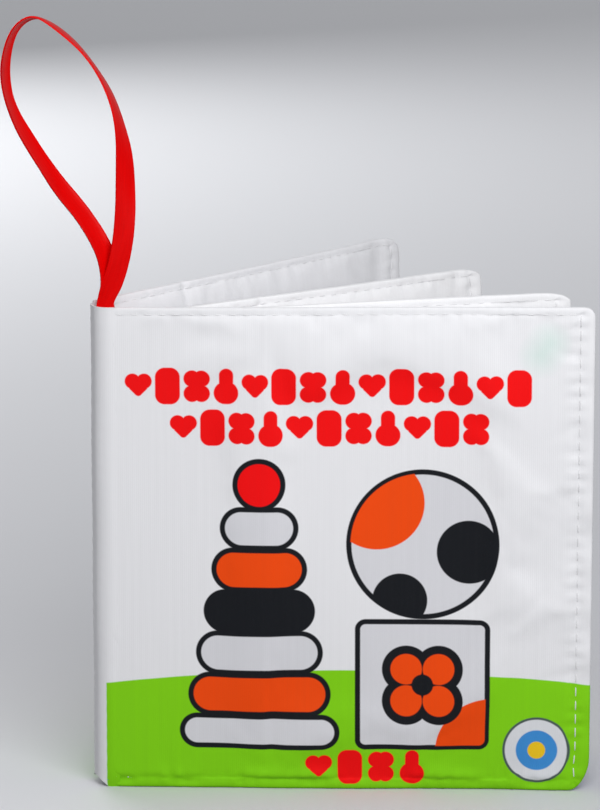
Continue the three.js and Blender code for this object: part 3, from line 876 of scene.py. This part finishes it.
def on_cloth(leaf, pad, x, z, side):
    """A place on one face of a finished leaf, in the leaf's own frame."""
    start = leaf["matrix"] @ (Vector((x, side * CLEAR_OF_CLOTH, z)) * MM)
    found, place, _, _ = pad.ray_cast(start, leaf["matrix"].to_3x3() @ Vector((0, -side, 0)))
    return leaf["matrix"].inverted() @ (place if found else start)


def stitch_holes(leaf):
    """A leaf's needle holes by edge: along the foot, up the fore edge and back along the head."""
    fore = leaf["width"] - STITCH_INSETS["fore"]
    head, foot = leaf["head"] - STITCH_INSETS["head"], leaf["foot"] + STITCH_INSETS["foot"]
    across, upward = np.linspace(SPINE_START, fore, 500), np.linspace(foot, head, 500)
    foot_x, foot_z = outline_place(leaf, across, foot + 0 * across)
    fore_x, fore_z = outline_place(leaf, fore + 0 * upward, upward)
    head_x, head_z = outline_place(leaf, across, head + 0 * across)
    low, high, pitches = seam_run(leaf)
    foot_xs = STITCH + pitches[0] * np.arange(round((low[0] - STITCH) / pitches[0]) + 1)
    fore_zs = low[1] + pitches[1] * np.arange(round((high[1] - low[1]) / pitches[1]) + 1)
    head_xs = high[0] - pitches[2] * np.arange(round((high[0] - STITCH) / pitches[2]) + 1)
    return {"foot": [(x, np.interp(x, foot_x, foot_z)) for x in foot_xs],
            "fore": [(np.interp(z, fore_z, fore_x), z) for z in fore_zs],
            "head": [(x, np.interp(x, head_x, head_z)) for x in head_xs]}


def stitch_places(leaf, pad, side):
    """Where each stitch lies on one face of a leaf: from hole to hole, pressed into the cloth."""
    found = []
    for edge, holes in stitch_holes(leaf).items():
        for (x, z), (next_x, next_z) in zip(holes[:-1], holes[1:]):
            start = on_cloth(leaf, pad, x, z, side)
            end = on_cloth(leaf, pad, next_x, next_z, side)
            middle = on_cloth(leaf, pad, (x + next_x) / 2, (z + next_z) / 2, side)
            span = end - start
            way = span.normalized()
            outward = (Vector((0, side, 0)) - way * way.y * side).normalized()
            turn = Matrix((way, outward, way.cross(outward))).transposed().to_4x4()
            stretch = Matrix.Diagonal((span.length / (STITCH * MM), 1, 1, 1))
            lie = Matrix.Translation(middle + outward * PROUD[edge] * MM)
            found.append(leaf["matrix"] @ lie @ turn @ stretch)
    return found


white_stitch = one_stitch(STITCH - STITCH_GAP, THREAD, STITCH_SINK, spun_thread)
bpy.context.view_layer.update()
for leaf, pad in zip(LEAVES, pads):
    for side, thread in ((-1, "needle"), (1, "bobbin")):
        places = stitch_places(leaf, pad, side)
        seam = sew(f"{leaf['name']}_{thread}_stitches", white_stitch, places)
        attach(seam, leaf["name"])
        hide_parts(f"{leaf['name']}_{thread}_thread")
bpy.data.objects.remove(white_stitch)

# Spine
# The outer sheet runs on from the front cover round the back of the book to the back cover. Behind
# each pair of leaves it is caught down by a rolled seam of the same cloth.
SPINE_CLOTH = 0.4
SPINE_CHAMFER = 2.6
CHAMFER_FROM, CHAMFER_RUN = 1.9, 3
CHAMFER_EASE = 0.4
SPINE_COLUMNS, SPINE_ROWS = 32, 68
SPINE_PINCH = 0.07
SPINE_SWAY, SWAY_WAVE = 0.12, 30
FRONT_FROM = (2.0, -1.5)
ROLL_RADIUS, ROLL_SIDES, ROLL_CUTS = 0.6, 20, 120
ROLL_SHARE = 0.3
ROLL_LAP, LAP_TURN = 0.12, 2.4
ROLL_LIFT, ROLL_LIFT_RUN = 2.4, 12
BACK_ROLL_IN = 0.3
WRAPS = [
    ("front_spine_wrap", "front_cover", "first_page",
     [(5.2, -1.66), (4, -1.72), (3, -1.7), (2, -1.52), (1.1, -1.2), (0.3, -0.78), (-0.35, -0.3),
      (-0.85, 0.2), (-1.2, 0.7), (-1.4, 1.2)]),
    ("middle_spine_wrap", "first_page", "second_page",
     [(-1.4, 1.2), (-1.58, 1.7), (-1.74, 2.2), (-1.86, 2.65), (-2.02, 3.1)]),
    ("back_spine_wrap", "second_page", "back_cover",
     [(-2.02, 3.1), (-2.2, 3.6), (-2.32, 4.2), (-2.38, 4.8), (-2.36, 5.35), (-2.2, 5.85),
      (-1.75, 6.4)]),
]


def through(points, count):
    """Evenly stepped places on a smooth line through the given points."""
    points = np.array(points, float)
    padded = np.vstack([2 * points[0] - points[1], points, 2 * points[-1] - points[-2]])
    found = []
    for at in np.linspace(0, len(points) - 1, count):
        first = min(int(at), len(points) - 2)
        t = at - first
        a, b, c, d = padded[first:first + 4]
        found.append(0.5 * (2 * b + (c - a) * t + (2 * a - 5 * b + 4 * c - d) * t ** 2
                            + (3 * b - a - 3 * c + d) * t ** 3))
    return np.array(found)


def run_lengths(points):
    """How far along a line each of its points lies."""
    return np.concatenate([[0], np.cumsum(np.linalg.norm(np.diff(points, axis=0), axis=1))])


plain_cloth, tree, shader, place = new_cloth("plain_spine_cloth")
finish_cloth(tree, shader, place, linear(WHITE))
spine_head = LEAVES[0]["head"] - SPINE_DROP
for name, body, next_body, path in WRAPS:
    in_front = name == "front_spine_wrap"
    line = through(path, SPINE_COLUMNS + 1)
    arc = run_lengths(line)
    wrap = add_piece(name, bpy.ops.mesh.primitive_grid_add, x_subdivisions=SPINE_COLUMNS,
                     y_subdivisions=SPINE_ROWS, size=1)
    for vertex, spot in zip(wrap.data.vertices, new_places(wrap)):
        step = round((vertex.co.x + 0.5) * SPINE_COLUMNS)
        x, y = line[step]
        out = min(max((CHAMFER_FROM - x) / CHAMFER_RUN, 0), 1)
        foot = SPINE_CHAMFER * out * (1 - CHAMFER_EASE * smooth((y - 3) / 3))
        up = foot + (vertex.co.y + 0.5) * (spine_head - foot)
        pinch = SPINE_PINCH * math.cos(2 * math.pi * up / STITCH)
        pinch *= math.sin(math.pi * step / SPINE_COLUMNS) ** 2
        sway = SPINE_SWAY * float(drift(up, 0, SWAY_WAVE, 5)) * float(smooth((2 - x) / 2))
        over = max(x, SPINE_START + 1)
        dip = float(leaf_half(LEAVES[0], over, 60) - leaf_half(LEAVES[0], over, up))
        dip *= float(smooth((x + 0.5) / 2.5)) * in_front
        vertex.co = Vector((x + pinch + sway, y + dip, up)) * MM
        spot.vector = Vector((path[0][0] - arc[step], 0, up)) * MM
    cloth = wrap.modifiers.new("cloth", "SOLIDIFY")
    cloth.thickness = SPINE_CLOTH * MM
    cloth.offset = 0
    bpy.ops.object.modifier_apply(modifier="cloth")
    face_outwards()
    bpy.ops.object.shade_smooth_by_angle(angle=math.radians(50))
    wrap.data.materials.append(front_print if in_front else plain_cloth)
    start = Vector((*(FRONT_FROM if in_front else path[0]), 0)) * MM
    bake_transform(wrap)

for node, body in (("front_spine_seam", "front_cover"), ("middle_spine_seam", "first_page"),
                   ("back_spine_seam", "second_page")):
    low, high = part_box(node)
    centre, tall = (low + high) / 2, high.z - low.z
    roll = settle(add_piece(node.replace("_seam", "_roll"), bpy.ops.mesh.primitive_cylinder_add,
                            vertices=ROLL_SIDES, radius=ROLL_RADIUS * MM, depth=tall,
                            location=centre))
    cut_across(ALONG_Z, [low.z + tall * cut / ROLL_CUTS for cut in range(1, ROLL_CUTS)])
    inwards = BACK_ROLL_IN * MM if node == "back_spine_seam" else 0
    for vertex, spot in zip(roll.data.vertices, new_places(roll)):
        out = vertex.co - centre
        turn = math.atan2(out.y, out.x)
        spot.vector = (turn * ROLL_RADIUS * MM, 0, vertex.co.z)
        waist = 1 - ROLL_SHARE * max(0, math.cos(2 * math.pi * vertex.co.z / (STITCH * MM))) ** 4
        lap = 1 + ROLL_LAP * math.cos(turn - LAP_TURN)
        lifted = smooth(1 - (vertex.co.z - low.z) / (ROLL_LIFT_RUN * MM))
        vertex.co.z += ROLL_LIFT * MM * float(lifted)
        vertex.co.x = centre.x + inwards + out.x * waist * lap
        vertex.co.y = centre.y + out.y * waist * lap
    bpy.ops.object.shade_smooth_by_angle(angle=math.radians(50))
    roll.data.materials.append(plain_cloth)
    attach(roll, body)
    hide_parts(node)

# Ribbon loop
# A red satin ribbon 6 mm wide, folded into a loop that twists a little. Both ends are caught in the
# head of the spine and held by a bar of zigzag stitches in red thread.
RIBBON_WIDTH = 6.0
RIBBON_THICK = 0.42
RIBBON_CUP = 0.35
RIBBON_GATHER = 0.2
RIBBON_WAVE = 0.1
RIBBON_STEPS = 220
RIBBON_STREAK = (0.35, 9)
WEFT_PITCH = 0.5
# Along, behind the spine line, above the cover's head, and the turn of the outer face in degrees
RIBBON_ROUTE = [
    (1.8, 0.45, -2.6, 90), (1.9, 0.45, 0.5, 89), (5.3, 0.15, 10, 82), (7.2, 0.15, 20, 80),
    (7.8, 0.25, 32, 66), (7.1, 0.45, 46, 33), (3.6, 0.65, 59, 6), (-3.6, 0.75, 70.5, 0),
    (-12.6, 0.75, 78.4, 0), (-18.6, 0.75, 80, -12), (-23.6, 0.75, 75, -18), (-25.6, 0.85, 64, -18),
    (-22.6, 0.95, 52, -22), (-12.6, 1.05, 35.5, -38), (-3.8, 1.15, 24, -48), (1.5, 1.25, 14.5, -52),
    (3.1, 1.25, 6, -62), (2.0, 1.25, 0.5, -86), (1.8, 1.25, -2.6, -90),
]
# The ribbon's section: flat, with a corded selvedge along each side
RIBBON_SECTION = [(-0.97, 0.45), (-0.9, 0.68), (-0.82, 0.5), (-0.6, 0.42), (-0.3, 0.42), (0, 0.42),
                  (0.3, 0.42), (0.6, 0.42), (0.82, 0.5), (0.9, 0.68), (0.97, 0.45)]
TACK_STITCHES = 13
TACK_LEANS = (118, 62)
TACK_PAST = 0.3
TACK_THREAD = 0.3
TACK_SINK = 0.1

satin, tree, shader = new_material("red_satin_ribbon")
# Polyester satin: long floats give a bright, slightly streaked shine, with fine ribs of weft across
place = add_node(tree, "Attribute", attribute_name="flat_place").outputs["Vector"]
streak = streaks(tree, place, *RIBBON_STREAK)
dye = add_node(tree, "Mix", (0, streak), (6, linear("#cc0000")), (7, linear("#ee0101")),
               data_type="RGBA")
relief = add_node(tree, "Math", (0, ribs(tree, place, "Z", WEFT_PITCH)), (1, streak),
                  operation="ADD")
bump = add_node(tree, "Bump", ("Strength", 0.3), ("Distance", 0.03 * MM),
                ("Height", relief.outputs[0]))
feed(tree, shader, ("Base Color", dye.outputs[2]), ("Normal", bump.outputs["Normal"]),
     ("Roughness", 0.34), ("Specular IOR Level", 0.08))

cover_head = LEAVES[0]["head"]
stations = through(RIBBON_ROUTE, RIBBON_STEPS + 1)
stations[:, 2] += cover_head
tangents = np.gradient(stations[:, :3], axis=0)
tangents[0], tangents[-1] = (0, 0, 1), (0, 0, -1)
tangents /= np.linalg.norm(tangents, axis=1, keepdims=True)
outward = np.cross((0, 1, 0), tangents)
outward /= np.linalg.norm(outward, axis=1, keepdims=True)
turns = np.radians(stations[:, 3])[:, None]
faces = outward * np.cos(turns) - np.array((0, 1, 0)) * np.sin(turns)
across = np.cross(tangents, faces)
ring = RIBBON_SECTION + [(a, -b) for a, b in reversed(RIBBON_SECTION)]
ribbon = settle(add_piece("satin_ribbon_loop", bpy.ops.mesh.primitive_cylinder_add,
                          vertices=len(ring), radius=1, depth=1, location=(0, 0, 0.5)))
choose(ribbon, "polygons", lambda face: face.normal.z > 0.9)
for _ in range(RIBBON_STEPS - 1):
    extrude(1)
bpy.ops.object.mode_set(mode="OBJECT")
length = run_lengths(stations[:, :3])
for vertex, spot in zip(ribbon.data.vertices, new_places(ribbon)):
    station = round(vertex.co.z)
    corner = round(math.atan2(vertex.co.x, vertex.co.y) / (2 * math.pi) * len(ring)) % len(ring)
    a, b = ring[corner]
    gather = 1 - RIBBON_GATHER * float(smooth(1 - (stations[station, 2] - cover_head) / 6))
    cup = RIBBON_CUP * (a * a - 0.4)
    wave = RIBBON_WAVE * math.sin(length[station] / 3.1) * a
    point = (stations[station, :3] + across[station] * a * gather * RIBBON_WIDTH / 2
             + faces[station] * (b * RIBBON_THICK - cup + wave))
    vertex.co = Vector(point) * MM
    spot.vector = Vector((a * RIBBON_WIDTH / 2, 0, length[station])) * MM
face_outwards()
bpy.ops.object.shade_smooth_by_angle(angle=math.radians(60))
ribbon.data.materials.append(satin)
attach(ribbon, "front_cover")
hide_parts("ribbon_loop")

# A red copy of the thread, which keeps the painted shade between its plies
red_thread = spun_thread.copy()
red_thread.name = "red_sewing_thread"
for node in red_thread.node_tree.nodes:
    if node.type == "MIX":
        node.inputs[6].default_value = linear("#d40808")
low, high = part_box("ribbon_bartack")
centre = (low + high) / 2
red_stitch = one_stitch((high.z - low.z) / MM + TACK_PAST, TACK_THREAD, TACK_SINK, red_thread)
places = []
for step in range(TACK_STITCHES):
    lean = math.radians(TACK_LEANS[step % 2])
    along = low.x + (high.x - low.x) * (step + 0.5) / TACK_STITCHES
    spot = Matrix.Translation((along, centre.y, centre.z))
    places.append(spot @ Matrix.Rotation(-lean, 4, "Y"))
tack = sew("ribbon_tack_stitches", red_stitch, places)
bpy.data.objects.remove(red_stitch)
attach(tack, "front_cover")
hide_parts("ribbon_bartack")
